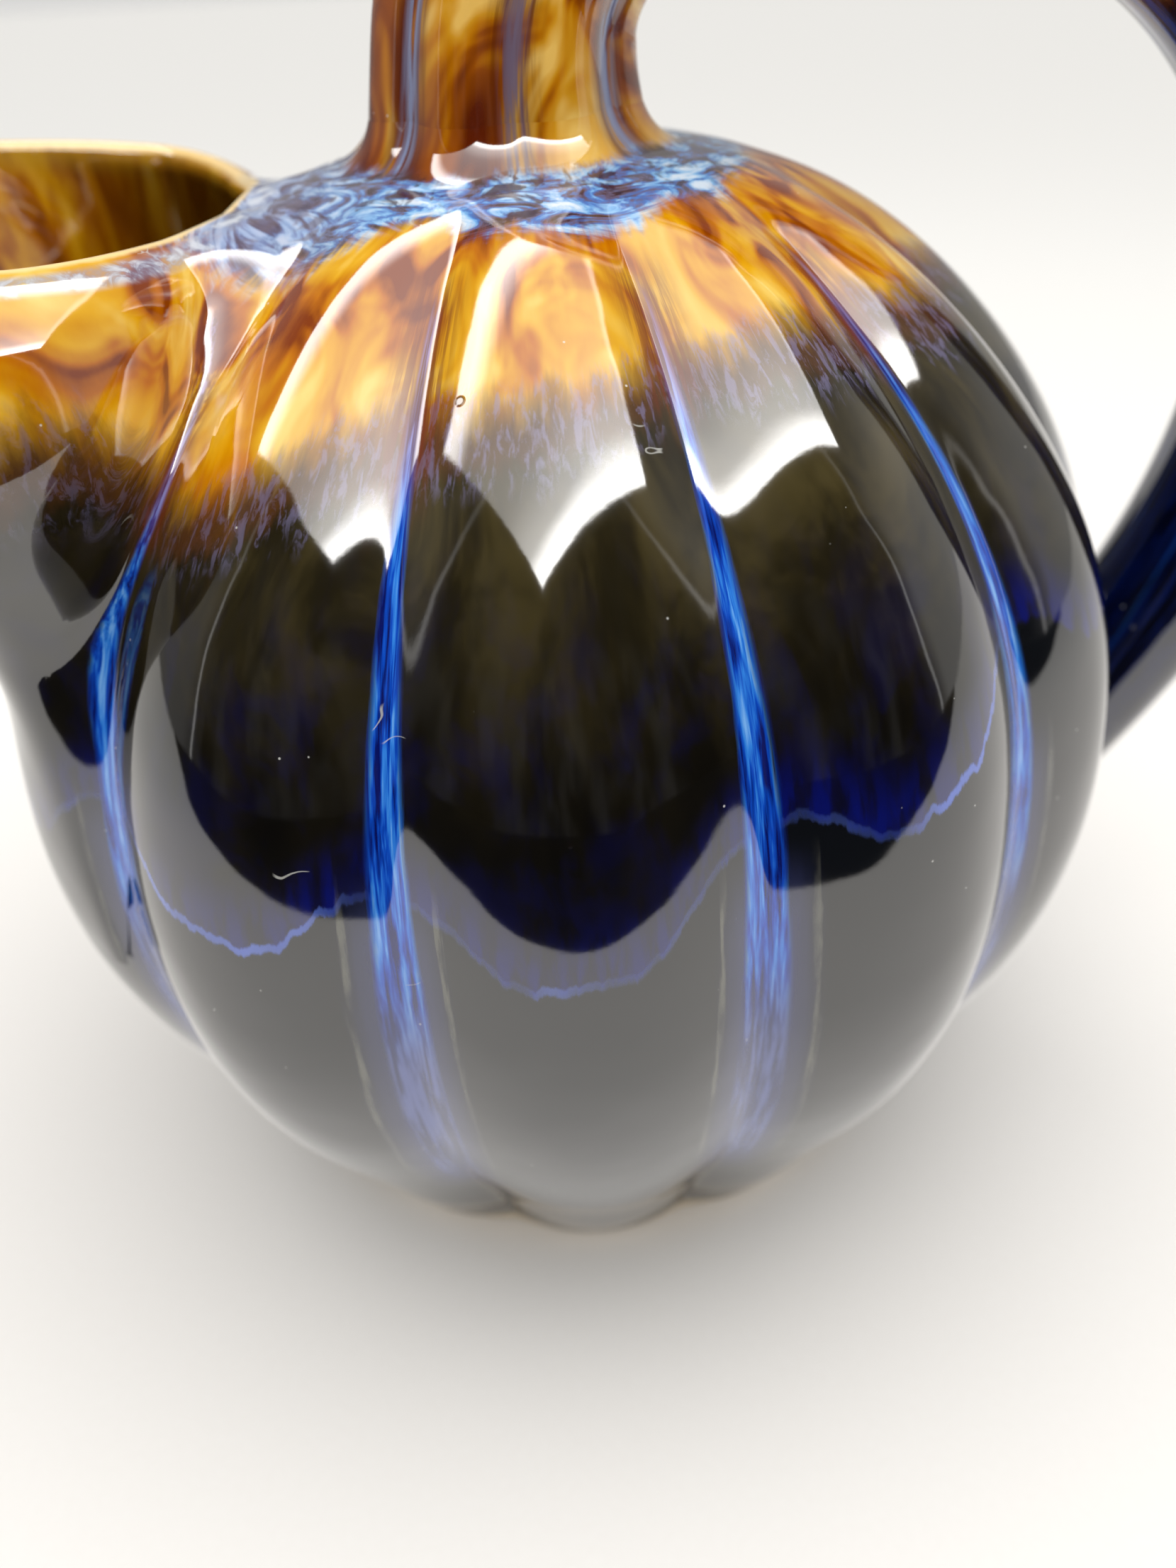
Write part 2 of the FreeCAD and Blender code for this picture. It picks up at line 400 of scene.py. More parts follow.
def build_body():
    """Closed shell of outer skin and cavity, open at the mouth, where a strip joins the two."""
    azimuth = column_azimuths()
    under, skin = body_outer_rows(azimuth)
    slopes = unit(gradient(body_field, skin))
    under_lip = smoothstep(0.9, -0.1, past_blend(skin)) * (skin[..., 2] > LIP_LOW)
    skin = skin - slopes * (SEAM_SINK * under_lip)[..., None]
    outer = np.concatenate([under, skin]).reshape(-1, 3)
    count = len(outer)

    floor = np.linspace(-NEAR_POLE, FOOT_ELEVATION, len(under) + 1)[:-1]
    sides = np.linspace(FOOT_ELEVATION, NEAR_POLE, ROWS_UP)
    elevation = np.concatenate([floor, sides])[:, None] + 0.0 * azimuth
    inner = skin_point(azimuth, elevation, inner_distance(azimuth, elevation)).reshape(-1, 3)

    faces = tube_faces(len(under) + ROWS_UP, COLUMNS)
    middles = outer[faces].mean(axis=1)
    in_mouth = (mouth_plan_field(middles, LIP_WALL) < -HOLE_INSET) & (middles[:, 2] > HOLE_LOW)
    faces = faces[~in_mouth]
    bottom = list(range(COLUMNS))
    top = list(range(count - COLUMNS, count))
    poles = {*bottom, *top}
    strip = [quad for quad in boundary_strip(faces, count) if quad[0] not in poles]
    caps = [bottom[::-1], top, [i + count for i in bottom], [i + count for i in top[::-1]]]
    all_faces = faces.tolist() + (faces[:, ::-1] + count).tolist() + strip + caps

    points = np.concatenate([outer, inner])
    flat_under = np.zeros((under[..., 0].size, 3))
    normals = np.concatenate([flat_under, slopes.reshape(-1, 3), np.zeros_like(inner)])
    masks = skin_masks(points)
    masks["inside"] = np.concatenate([np.zeros(count), np.ones(count)])
    return make_piece("pumpkin_body", points, all_faces, masks, "body_shell", normals)


# ---- pouring lip ----
LIP_COLUMNS = 384
LIP_OUTER_ROWS = 60
LIP_ROUND_ROWS = 7
LIP_INNER_ROWS = 44
THROAT_DEPTH = 75.0
THROAT_STEPS = 151
MARCH_PACE = 0.75
LIP_STEPS = 130
LIP_OVERLAP = 1.4  # how far past the soft corner the lip runs on over the body
FOOT_SMOOTHING = 27  # columns over which the lip's lower edge is evened out
THROAT_OVERLAP = 1.0  # how far the inner wall runs into the cavity
THROAT_SMOOTHING = 9
RIM_ROWS = 8  # rows next to the rim that always stay on the skin


def even_loop(points, count):
    """The same closed loop with points at even spacing."""
    ring = np.vstack([points, points[:1]])
    length = np.concatenate([[0.0], np.cumsum(np.linalg.norm(np.diff(ring, axis=0), axis=1))])
    at = np.linspace(0.0, length[-1], count, endpoint=False)
    return np.stack([np.interp(at, length, ring[:, axis]) for axis in range(ring.shape[1])], axis=1)


def rim_loop():
    """Inner edge of the rim: its outline from above, set on the skin of body and collar."""
    turn = np.linspace(0.0, 2.0 * math.pi, 6000, endpoint=False)
    reach = np.where(np.cos(turn) > 0.0, MOUTH_TO_STEM, MOUTH_TO_TIP)
    share = math.sqrt(1.0 - (MOUTH_SOFTNESS / MOUTH_HALF_WIDTH) ** MOUTH_SQUARENESS) * np.cos(turn)
    across = MOUTH_HALF_WIDTH * (1.0 - share ** 2) ** (1.0 / MOUTH_SQUARENESS)
    across = np.sign(np.sin(turn)) * np.sqrt(np.maximum(across ** 2 - MOUTH_SOFTNESS ** 2, 0.0))
    plan = even_loop(np.stack([MOUTH_X + reach * share, across], axis=1), LIP_COLUMNS)
    low = RIM_Z + RIM_RISE * (RIM_X - plan[:, 0]) - 4.0
    height = bisect(lambda z: outside_field(np.column_stack([plan, z])) < 0.0, low, low + 20.0)
    return np.column_stack([plan, height])


def down_the_wall(points):
    """Direction straight down the lip's outer wall, following the tip as it draws back."""
    depth = rim_depth(points)
    reach = np.maximum(MOUTH_TO_TIP + LIP_WALL - tip_drawback(depth), 6.0)
    shrink = (tip_drawback(depth + 0.5) - tip_drawback(depth - 0.5)) / reach
    drift = -np.minimum(points[:, 0] - MOUTH_X, 0.0) * shrink
    return np.column_stack([drift, np.zeros(len(points)), -np.ones(len(points))])


def march(start, outward, steps):
    """Walks from the rim over the outer skin: outward where it lies flat, down where it stands."""
    point = start
    path = [point]
    for _ in range(steps):
        across = unit(gradient(outside_field, point))
        flat = smoothstep(0.15, 0.6, across[:, 2:])
        heading = flat * outward + (1.0 - flat) * down_the_wall(point)
        heading = unit(heading - np.sum(heading * across, axis=1, keepdims=True) * across)
        point = settle(outside_field, point + heading * MARCH_PACE, rounds=2)
        path.append(point)
    return np.array(path)


def smooth_round(values, width):
    """Moving average round a closed loop."""
    kernel = np.hanning(width + 2)[1:-1]
    padded = np.concatenate([values[-width:], values, values[:width]])
    return np.convolve(padded, kernel / kernel.sum(), mode="same")[width:-width]


def first_step(condition):
    """First step along each path at which the condition holds."""
    return np.where(condition.any(axis=0), condition.argmax(axis=0), len(condition) - 1).astype(float)


def resample(path, steps, rows):
    """Rows of points from the start of each path to its given number of steps."""
    at = np.linspace(0.0, 1.0, rows)[:, None] * np.minimum(steps, len(path) - 1.001)
    step = at.astype(int)
    column = np.arange(path.shape[1])
    share = (at - step)[..., None]
    return path[step, column] * (1.0 - share) + path[step + 1, column] * share


def throat_rows(start):
    """Inner wall of the lip, straight down from its start and drawn back towards the tip."""
    below = np.linspace(0.0, THROAT_DEPTH, THROAT_STEPS)[:, None]
    reach_at_start = MOUTH_TO_TIP - LIP_ROUND - tip_drawback(rim_depth(start))
    depth = rim_depth(start) + below
    share = np.maximum(MOUTH_TO_TIP - LIP_ROUND - tip_drawback(depth), 3.0) / reach_at_start
    along = start[:, 0] - MOUTH_X
    x = MOUTH_X + along * np.where(along < 0.0, share, 1.0)
    path = np.stack([x, start[:, 1] + 0.0 * below, start[:, 2] - below], axis=-1)
    steps = smooth_round(first_step(cavity_field(path) < -THROAT_OVERLAP), THROAT_SMOOTHING)
    return resample(path, steps, LIP_INNER_ROWS)[1:]


def build_lip():
    """Closed ring: up the collar's outer skin, over the round rim and down the inner wall."""
    rim = rim_loop()
    along = unit(np.roll(rim, -1, axis=0) - np.roll(rim, 1, axis=0))
    outward = unit(np.cross(along, [0.0, 0.0, 1.0]))
    outer_path = march(rim, outward, LIP_STEPS)
    on_body = (body_field(outer_path) < collar_field(outer_path)) & (past_blend(outer_path) > LIP_OVERLAP)
    steps = smooth_round(first_step(on_body), FOOT_SMOOTHING)
    outer = resample(outer_path, steps, LIP_OUTER_ROWS)
    outer_normals = unit(gradient(outside_field, outer))
    sink = SEAM_SINK * smoothstep(0.0, 1.2, past_blend(outer))
    sink[:RIM_ROWS] = 0.0
    outer = outer - outer_normals * sink[..., None]

    up = outer_normals[0]
    inward = -unit(outward - np.sum(outward * up, axis=1, keepdims=True) * up)
    turn = np.linspace(0.0, 0.5 * math.pi, LIP_ROUND_ROWS + 1)[1:, None, None]
    edge = rim + inward * LIP_ROUND * np.sin(turn) - up * LIP_ROUND * (1.0 - np.cos(turn))
    inner = throat_rows(edge[-1])

    rows = np.concatenate([outer[::-1], edge, inner])
    points = rows.reshape(-1, 3)
    faces = torus_faces(len(rows), LIP_COLUMNS)
    down = unit(np.gradient(rows, axis=0))
    round_loop = unit(np.roll(rows, -1, axis=1) - np.roll(rows, 1, axis=1))
    normals = unit(np.cross(round_loop, down))
    normals[:LIP_OUTER_ROWS] = outer_normals[::-1]
    masks = skin_masks(points)
    row = np.arange(len(rows))[:, None] + np.zeros(LIP_COLUMNS)
    masks["inside"] = smoothstep(LIP_OUTER_ROWS + 1.0, LIP_OUTER_ROWS + 5.0, row).ravel()
    masks["rim"] = rim_distance(rows).ravel()
    normals = normals.reshape(-1, 3)
    return make_piece("pouring_lip_glazed", points, faces, masks, "pouring_lip", normals)


def rim_distance(rows):
    """Distance along each column from the crest of the rim."""
    steps = np.linalg.norm(np.diff(rows, axis=0), axis=2)
    length = np.concatenate([np.zeros((1, rows.shape[1])), steps.cumsum(axis=0)])
    return np.abs(length[LIP_OUTER_ROWS + 1] - length)


# ---- stem and handle ----
stations = np.array(HANDLE_STATIONS)
station_steps = np.linalg.norm(np.diff(stations[:, :2], axis=0), axis=1)
station_lengths = np.concatenate([[0.0], np.cumsum(station_steps)])
handle_line = spline(station_lengths, stations)
HANDLE_LENGTH = station_lengths[-1]
HANDLE_COLUMNS = 160
HANDLE_ROWS = 300
HANDLE_SINK = 2.4  # how deep the hidden ends of the handle dive into the body
# lengths between which the handle's surface crosses the skin of the body at either end
STEM_SPAN = (0.0, 25.0)
END_SPAN = (HANDLE_LENGTH - 70.0, HANDLE_LENGTH)
FILLET_ROWS = 16
FILLET_SINK = 0.12  # how deep a fillet's edges dive into the body and the handle


def handle_frame(length):
    """Centre, across direction and half sizes of the handle at a length along it."""
    here = handle_line(length)
    ahead = handle_line(length + 0.05) - handle_line(length - 0.05)
    along = unit(ahead[..., :2])
    zero = 0.0 * length
    centre = np.stack([here[..., 0], zero, here[..., 1]], axis=-1)
    across = np.stack([along[..., 1], zero, -along[..., 0]], axis=-1)
    return centre, across, here[..., 2], here[..., 3]


def groove_wave(turn):
    """Zero in a groove of the stem, one on a ridge."""
    return np.abs(np.sin(0.5 * FLUTES * (turn - FLUTE_START)))


def handle_point(length, turn):
    """Point of the fluted surface at a length along the handle and a turn round it."""
    centre, across, half_across, half_deep = handle_frame(length)
    fade = 1.0 - FLUTE_FADE * smoothstep(40.0, 150.0, length)
    uneven = 0.78 - 0.28 * np.cos(2.0 * (turn - SHALLOW_FLUTES))
    size = 1.0 - FLUTE_DEPTH * fade * uneven * (1.0 - rounded(groove_wave(turn), GROOVE_SOFTNESS))
    deep = np.zeros_like(across)
    deep[..., 1] = 1.0
    a = (half_across * size * np.cos(turn))[..., None]
    b = (half_deep * size * np.sin(turn))[..., None]
    return centre + across * a + deep * b


def length_at_depth(turn, span, depth):
    """Length in the span at which the handle's surface line reaches the given depth in the body."""
    def inside(length):
        return body_field(handle_point(length, turn)) < -depth

    low, high = (np.full_like(turn, end) for end in span)
    starts_inside = inside(low)
    return bisect(lambda length: inside(length) == starts_inside, low, high)


def build_handle():
    """Fluted tube from the crown over the loop to the back rib, closed by a flat cap at each end."""
    turn = np.linspace(0.0, 2.0 * math.pi, HANDLE_COLUMNS, endpoint=False)
    start = length_at_depth(turn, STEM_SPAN, HANDLE_SINK)
    end = length_at_depth(turn, END_SPAN, HANDLE_SINK)
    share = np.linspace(0.0, 1.0, HANDLE_ROWS)[:, None]
    length = start + (end - start) * share
    turns = turn + 0.0 * length
    points = handle_point(length, turns).reshape(-1, 3)
    faces = tube_faces(HANDLE_ROWS, HANDLE_COLUMNS).tolist()
    first_ring = list(range(HANDLE_COLUMNS))
    last_ring = list(range(len(points) - HANDLE_COLUMNS, len(points)))
    faces += [first_ring[::-1], last_ring]
    masks = handle_masks(length.ravel(), turns.ravel(), points)
    return make_piece("stem_handle_glazed", points, faces, masks, "stem_handle")


def build_fillet(name, node, span, towards, size):
    """Ring of slip in the corner of body and handle; towards is +1 at the stem, -1 at the end."""
    turn = np.linspace(0.0, 2.0 * math.pi, HANDLE_COLUMNS, endpoint=False)
    corner_length = length_at_depth(turn, span, 0.0)
    corner = handle_point(corner_length, turn)
    centre = handle_frame(corner_length)[0]
    body_normal = unit(gradient(body_field, corner))
    tube_way = unit(handle_point(corner_length + towards, turn) - corner)
    out = unit(corner - centre)
    body_way = unit(out - np.sum(out * body_normal, axis=1, keepdims=True) * body_normal)
    opening = np.arccos(np.clip(np.sum(body_way * tube_way, axis=1), -1.0, 1.0))
    reach = smooth_round(np.clip(size / np.tan(0.5 * opening), 0.45 * size, 2.4 * size), 11)
    foot = settle(body_field, corner + body_way * reach[:, None])
    head = handle_point(corner_length + towards * reach, turn)
    foot = foot - unit(gradient(body_field, foot)) * FILLET_SINK
    head = head - unit(head - handle_frame(corner_length + towards * reach)[0]) * FILLET_SINK
    share = np.linspace(0.0, 1.0, FILLET_ROWS)[:, None, None]
    curve = (1.0 - share) ** 2 * foot + 2.0 * share * (1.0 - share) * corner + share ** 2 * head
    buried = corner - (out + body_normal)
    rows = np.concatenate([curve, buried[None]])
    points = rows.reshape(-1, 3)
    faces = torus_faces(len(rows), HANDLE_COLUMNS)
    if towards < 0.0:
        faces = faces[:, ::-1]
    lengths = np.concatenate([corner_length + towards * reach * s for s in share[:, 0]] + [corner_length])
    turns = np.tile(turn, len(rows))
    masks = skin_masks(points)
    masks["joint"] = np.repeat(np.append(share[:, 0, 0], 1.0), HANDLE_COLUMNS)
    stem = handle_masks(lengths, turns, points)
    masks["stem_flow"] = stem["flow"]
    masks["stem_groove"] = stem["crease"]
    return make_piece(name, points, faces, masks, node)


# ---- glaze masks ----
LIP_CREASE = RIBS - 3  # the crease that runs into the valley under the lip, in half ribs
VALLEY_OPENING = 0.75  # how fast body and collar part beside the valley
FALL_PER_DEGREE = 1.45  # run of the glaze down the skin, to a degree of elevation
LIP_FALL = 1.1  # the same on the lip, to a millimetre of height
LIP_FALL_START = 236.0  # brings the run on the lip level with the run on the body
STEM_RADIUS = 17.0  # for distances from a groove
STEM_FLOW_RADIUS = 20.0  # and for the run of the glaze round the stem
FAR_FROM_RIM = 50.0


def plain_masks(points, **own):
    """Masks of a point that isn't inside, on the rim or on a joint, with the piece's own added."""
    none = np.zeros(len(points))
    return {**own, "rim": none + FAR_FROM_RIM, "inside": none, "joint": none}


def skin_masks(points):
    """Per-point numbers that place the glaze: where it lies on the skin, and how near a crease."""
    azimuth, elevation, _ = polar(points)
    radius = np.hypot(points[..., 0], points[..., 1])
    half_rib = math.pi / RIBS
    others = [k * half_rib for k in range(1, RIBS, 2) if k != LIP_CREASE]
    fold = np.abs(azimuth)
    crease = np.min([np.abs(fold - at) for at in others], axis=0) * radius
    to_crease = (fold - LIP_CREASE * half_rib) * radius
    to_valley = (body_field(points) - collar_field(points)) / VALLEY_OPENING
    share = smoothstep(8.0, 34.0, elevation)
    under_lip = np.abs(to_crease * (1.0 - share) + to_valley * share)
    past_valley = smoothstep(147.0, 153.0, points[..., 2])
    standing_out = smoothstep(0.0, 8.0, body_field(points))[..., None]
    fall = (90.0 - elevation) * FALL_PER_DEGREE
    round_body = ring_point(DESIGN_RADIUS, azimuth, fall)
    down_lip = points * [1.0, 1.0, -LIP_FALL] + [0.0, 0.0, LIP_FALL_START]
    flow = round_body * (1.0 - standing_out) + down_lip * standing_out
    crease = np.minimum(crease, under_lip + 30.0 * past_valley)
    return plain_masks(points, flow=flow, crease=crease, rise=elevation)


def handle_masks(length, turn, points):
    """The same for the handle, with the grooves as its creases and its length as its rise."""
    flow = ring_point(STEM_FLOW_RADIUS, turn, length)
    groove = np.arcsin(np.clip(groove_wave(turn), 0.0, 1.0)) / (0.5 * FLUTES) * STEM_RADIUS
    return plain_masks(points, flow=flow, crease=groove, rise=length)


# ---- shader helper ----
def tint(red, green, blue):
    """Linear colour for a display colour given from 0 to 255."""
    return tuple((value / 255.0) ** 2.2 for value in (red, green, blue)) + (1.0,)


class Nodes:
    """Strings shader nodes together; every input takes a socket or a plain value."""

    def __init__(self, tree):
        self.tree = tree

    def put(self, socket, value):
        if isinstance(value, bpy.types.NodeSocket):
            self.tree.links.new(value, socket)
        else:
            socket.default_value = value

    def node(self, kind, *values, **named):
        """New node with its first inputs set to the values, and others by name."""
        node = self.tree.nodes.new("ShaderNode" + kind)
        for key, value in [*enumerate(values), *named.items()]:
            self.put(node.inputs[key], value)
        return node

    def attribute(self, name, output="Fac"):
        node = self.node("Attribute")
        node.attribute_name = name
        return node.outputs[output]

    def place(self):
        return self.node("TexCoord").outputs["Object"]

    def glossy(self):
        """One for what the glaze mirrors, zero for plain light and for the eye."""
        return self.node("LightPath").outputs["Is Glossy Ray"]

    def math(self, operation, a, b=0.0):
        node = self.node("Math", a, b)
        node.operation = operation
        return node.outputs[0]

    def add(self, a, b):
        return self.math("ADD", a, b)

    def times(self, a, b):
        return self.math("MULTIPLY", a, b)

    def blend(self, share, a, b):
        """Number that goes from a to b as share goes from zero to one."""
        return self.add(self.times(self.math("SUBTRACT", 1.0, share), a), self.times(share, b))

    def swing(self, noise, reach):
        """Noise moved to the middle and stretched to plus or minus half the reach."""
        return self.times(self.add(noise, -0.5), reach)

    def step(self, value, low, high, bottom=0.0, top=1.0):
        """Smooth step from bottom at low to top at high; low may be the larger."""
        node = self.node("MapRange", value, low, high, bottom, top)
        node.interpolation_type = "SMOOTHSTEP"
        return node.outputs[0]

    def band(self, value, low, high, soft):
        """One between low and high, fading to zero over soft on both sides."""
        return self.times(self.step(value, low - soft, low), self.step(value, high + soft, high))

    def scaled(self, vector, *factors):
        node = self.node("VectorMath", vector, factors)
        node.operation = "MULTIPLY"
        return node.outputs[0]

    def noise(self, vector, detail=2.0, roughness=0.5, distortion=0.0, scale=1.0):
        node = self.node("TexNoise", Vector=vector, Scale=scale, Detail=detail,
                         Roughness=roughness, Distortion=distortion)
        return node.outputs[0]

    def cells(self, vector, scale, output="Distance"):
        return self.node("TexVoronoi", Vector=vector, Scale=scale).outputs[output]

    def mix(self, share, a, b):
        """Colour that goes from a to b, each a socket or a display colour, as share goes from 0 to 1."""
        node = self.node("Mix")
        node.data_type = "RGBA"
        node.clamp_factor = True
        self.put(node.inputs["Factor"], share)
        colours = [socket for socket in node.inputs if socket.type == "RGBA"]
        for socket, colour in zip(colours, (a, b)):
            self.put(socket, tint(*colour) if isinstance(colour, tuple) else colour)
        return [socket for socket in node.outputs if socket.type == "RGBA"][0]

    def ramp(self, value, stops):
        """Colour from stops of a place on the ramp and a display colour."""
        node = self.node("ValToRGB", value)
        ramp = node.color_ramp
        while len(ramp.elements) < len(stops):
            ramp.elements.new(0.5)
        for element, (at, *colour) in zip(ramp.elements, stops):
            element.position = at
            element.color = tint(*colour)
        return node.outputs[0]

    def component(self, vector, axis):
        return self.node("SeparateXYZ", vector).outputs[axis]


class Glaze(Nodes):
    """Nodes of a new material."""

    def __init__(self, name):
        self.material = bpy.data.materials.new(name)
        self.material.use_nodes = True
        super().__init__(self.material.node_tree)
        self.surface = self.tree.nodes["Principled BSDF"].inputs

    def shade(self, inputs):
        for name, value in inputs.items():
            self.put(self.surface[name], value)


# ---- glazes ----
AMBER_STOPS = [
    (0.32, 122, 54, 4), (0.41, 178, 102, 6), (0.49, 200, 138, 12), (0.57, 214, 160, 32),
    (0.70, 228, 190, 90),
]
INSIDE_STOPS = [
    (0.32, 96, 40, 4), (0.44, 158, 92, 6), (0.54, 198, 140, 16), (0.70, 222, 178, 60),
]


class Skin(Glaze):
    """Glaze of body, lip and joints, with the masks and noises that place its zones."""

    def __init__(self, name):
        super().__init__(name)
        self.flow = self.attribute("flow", "Vector")
        for mask in ("rise", "crease", "rim", "inside", "joint"):
            setattr(self, mask, self.attribute(mask))
        self.wander = self.noise(self.scaled(self.flow, 0.045, 0.045, 0.02), 2.0)
        self.ragged = self.noise(self.scaled(self.flow, 0.45, 0.45, 0.10), 4.0, 0.6)
        self.hair = self.noise(self.scaled(self.flow, 1.15, 1.15, 0.075), 3.0, 0.6, 0.25)
        self.side = self.times(self.component(self.flow, 0), 1.0 / DESIGN_RADIUS)
        self.side_square = self.times(self.side, self.side)


def amber_colour(g):
    """Honey glaze with brown flames that run down the skin, burnt darker beside the crown."""
    flame = g.noise(g.scaled(g.flow, 0.075, 0.075, 0.062), 2.0, 0.45, 1.3)
    fine = g.noise(g.scaled(g.flow, 0.34, 0.34, 0.13), 3.0, 0.6)
    burnt = g.step(g.rise, 47.0, 61.0, 0.02, -0.075)
    return g.ramp(g.add(g.add(flame, burnt), g.swing(fine, 0.09)), AMBER_STOPS)


def inside_colour(g):
    """Ochre with brown runs, yellower at the rim, with painted shade deep under the crown, where no light
    gets inside.
    """
    streak = g.noise(g.scaled(g.flow, 0.13, 0.13, 0.02), 4.0, 0.6, 0.5)
    colour = g.mix(g.step(g.rim, 6.0, 2.0, 0.0, 0.55), g.ramp(streak, INSIDE_STOPS), (190, 150, 52))
    # painted shade: the inside is darkened towards the stem end, away from the rim, as if the crown kept
    # the light out
    painted_shade_under_crown = g.step(g.component(g.place(), 0), -0.082, -0.056, 0.0, 0.96)
    return g.mix(g.times(painted_shade_under_crown, g.step(g.rim, 1.5, 4.5)), colour, (20, 6, 2))


def dark_colour(g):
    """Olive-black glaze, clouded with olive above and with navy below."""
    cloud = g.noise(g.scaled(g.flow, 0.07, 0.07, 0.045), 4.0, 0.6, 0.8)
    olive_share = g.times(g.step(cloud, 0.36, 0.70, 0.25, 1.0), g.step(g.rise, 12.0, 42.0, 0.06, 0.85))
    olive = g.mix(olive_share, (11, 10, 10), (80, 71, 44))
    blue_cloud = g.noise(g.scaled(g.flow, 0.10, 0.10, 0.06), 4.0, 0.65, 0.4)
    blue_share = g.times(g.step(blue_cloud, 0.46, 0.66), g.step(g.rise, 40.0, 18.0))
    return g.mix(g.times(blue_share, 0.16), olive, (12, 18, 92))


def crown_colour(g):
    """Blue and white flecks swept round the foot of the stem over near-black blue."""
    blotch = g.noise(g.scaled(g.flow, 0.022, 0.022, 0.16), 2.0, 0.5, 1.0)
    fleck = g.noise(g.scaled(g.flow, 0.040, 0.040, 0.25), 5.0, 0.60, 1.6)
    flecks = g.ramp(g.add(fleck, g.swing(blotch, 0.40)), [
        (0.36, 20, 20, 40), (0.44, 84, 84, 112), (0.50, 50, 112, 190), (0.56, 116, 178, 228),
        (0.68, 206, 224, 240),
    ])
    spots = g.step(g.noise(g.scaled(g.flow, 0.075, 0.075, 0.22), 3.0, 0.55, 0.8), 0.54, 0.64, 0.0, 0.9)
    flecks = g.mix(spots, flecks, (16, 22, 52))
    pale = g.mix(g.step(fleck, 0.40, 0.62), (96, 92, 112), (162, 172, 204))
    to_mouth = g.step(g.component(g.place(), 0), -0.012, -0.034, 0.0, 0.72)
    return g.mix(to_mouth, flecks, pale)


def crease_colour(g, above):
    """Purple-brown at the top of a crease, cobalt lower down, hazy lavender near the foot."""
    high = g.mix(g.step(g.hair, 0.42, 0.62), (92, 42, 44), (150, 140, 200))
    blue = g.ramp(g.hair, [
        (0.36, 4, 22, 96), (0.48, 16, 74, 190), (0.58, 52, 130, 226), (0.68, 120, 176, 240),
    ])
    haze = g.mix(g.step(g.hair, 0.40, 0.62), (46, 54, 104), (104, 118, 186))
    upper = g.mix(g.step(above, -8.0, 3.0), blue, high)
    return g.mix(g.step(g.rise, 0.0, -12.0), upper, haze)


def stem_colour(g, flow, groove):
    """Amber lozenges between grooves near the foot, turning cobalt and black down the handle."""
    length = g.component(flow, 2)
    lozenge = g.noise(g.scaled(flow, 0.075, 0.075, 0.060), 2.0, 0.45, 1.6)
    hair = g.noise(g.scaled(flow, 0.9, 0.9, 0.07), 3.0, 0.6, 0.3)
    colour = g.ramp(lozenge, [
        (0.34, 88, 32, 4), (0.44, 140, 72, 4), (0.51, 180, 112, 8), (0.57, 200, 142, 34),
        (0.66, 224, 180, 92),
    ])
    brown = g.times(g.step(groove, 4.2, 1.2), g.step(hair, 0.35, 0.6, 0.4, 0.95))
    colour = g.mix(brown, colour, (84, 34, 14))
    towards_side = g.math("ABSOLUTE", g.component(flow, 0))
    streak = g.times(g.step(g.add(groove, g.swing(hair, 3.4)), 2.3, 0.5), g.step(hair, 0.40, 0.60))
    streak = g.times(streak, g.step(towards_side, 5.0, 10.0, 0.3, 0.8))
    colour = g.mix(streak, colour, (132, 148, 186))
    dark = g.step(g.add(length, g.swing(hair, 26.0)), 96.0, 128.0)
    cobalt = g.times(g.step(hair, 0.46, 0.62), g.step(length, 220.0, 150.0, 0.2, 0.8))
    night = g.mix(cobalt, (8, 10, 26), (16, 52, 150))
    return g.mix(dark, colour, night)


def scattered(g, scale, size, soft, channel, share):
    """Round marks of the given size in a few of the cells; share of the cells stay empty."""
    mark = g.step(g.cells(g.place(), scale), size, size - soft)
    chance = g.component(g.cells(g.place(), scale, "Color"), channel)
    return g.times(mark, g.step(chance, share, share + 0.01))


def add_surface(g, colour, roughness):
    """Wet gloss with a slow ripple, a fine skin, pinholes, a little dust and a few lint strands."""
    ripple = g.noise(g.place(), 0.6, scale=95.0)
    skin = g.noise(g.place(), 2.0, scale=1100.0)
    holes = scattered(g, 120.0, 0.085, 0.040, 0, 0.93)
    dust = scattered(g, 420.0, 0.075, 0.030, 1, 0.90)
    strand = g.band(g.noise(g.place(), 0.0, 0.5, 0.6, 170.0), 0.496, 0.504, 0.006)
    strand = g.times(strand, scattered(g, 130.0, 0.34, 0.06, 2, 0.93))
    colour = g.mix(g.times(strand, 0.55), colour, (205, 205, 200))
    colour = g.mix(g.times(holes, 0.7), colour, (60, 40, 20))
    colour = g.mix(g.times(dust, 0.55), colour, (215, 215, 210))
    height = g.add(ripple, g.times(skin, 0.008))
    height = g.add(height, g.times(holes, -0.5))
    bump = g.node("Bump", Distance=BUMP_HEIGHT, Height=height)
    roughness = g.add(roughness, g.times(dust, 0.3))
    g.shade({"Base Color": colour, "Roughness": roughness, "Normal": bump.outputs[0], "IOR": GLAZE_IOR})


